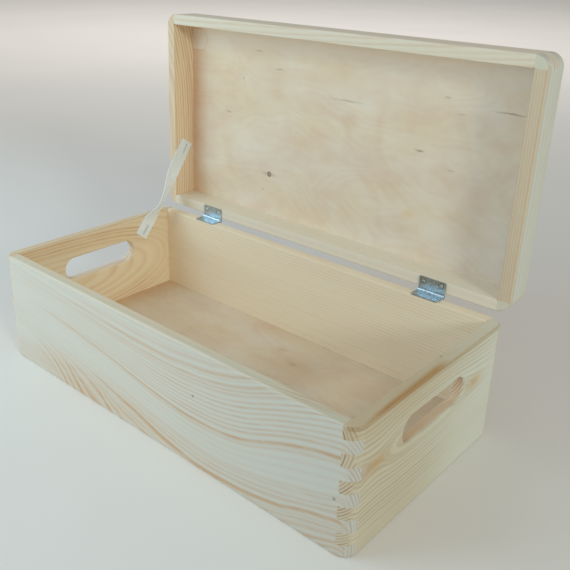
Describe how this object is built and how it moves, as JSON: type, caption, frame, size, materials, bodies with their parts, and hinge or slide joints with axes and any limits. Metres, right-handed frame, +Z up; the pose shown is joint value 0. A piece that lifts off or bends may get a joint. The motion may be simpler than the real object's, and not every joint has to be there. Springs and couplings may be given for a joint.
{
  "type": "wooden storage box",
  "caption": "Long pine storage box with finger-jointed corners, hand slots in its ends, a plywood base and a hinged tray lid held open by a ribbon.",
  "frame": {"origin": "centre of the box's footprint, on the surface that it stands on", "axes": "+X along the box to its right end, +Y to its back where the hinges are, +Z up"},
  "size_m": [0.4, 0.237, 0.3064],
  "materials": {
    "pine_long_board": "sanded, unfinished pine",
    "pine_end_board": "sanded, unfinished pine",
    "plywood": "sanded, unfinished birch plywood",
    "zinc_leaf": "bright zinc plate",
    "steel_pin": "bright steel",
    "zinc_screw": "bright zinc plate",
    "cotton_ribbon": "woven cotton tape",
    "staple_wire": "galvanised wire"
  },
  "bodies": {
    "box": {"front_panel": "pine_long_board", "back_panel": "pine_long_board", "left_end_panel": "pine_end_board", "right_end_panel": "pine_end_board", "base_panel": "plywood", "hinge_left_box_leaf": "zinc_leaf", "hinge_right_box_leaf": "zinc_leaf", "hinge_left_pin": "steel_pin", "hinge_right_pin": "steel_pin", "hinge_left_box_screws": "zinc_screw", "hinge_right_box_screws": "zinc_screw", "stay_ribbon": "cotton_ribbon", "stay_box_staple": "staple_wire"},
    "lid": {"lid_front_rail": "pine_long_board", "lid_back_rail": "pine_long_board", "lid_left_rail": "pine_end_board", "lid_right_rail": "pine_end_board", "lid_panel": "plywood", "hinge_left_lid_leaf": "zinc_leaf", "hinge_right_lid_leaf": "zinc_leaf", "hinge_left_lid_screws": "zinc_screw", "hinge_right_lid_screws": "zinc_screw", "stay_lid_staple": "staple_wire"}
  },
  "joints": [
    {"name": "lid_hinge", "type": "hinge", "parent": "box", "child": "lid", "pos_m": [0, 0.1024, 0.1041], "axis": [-1, 0, 0], "range_deg": [-91, 0], "deforming": ["stay_ribbon"]}
  ]
}
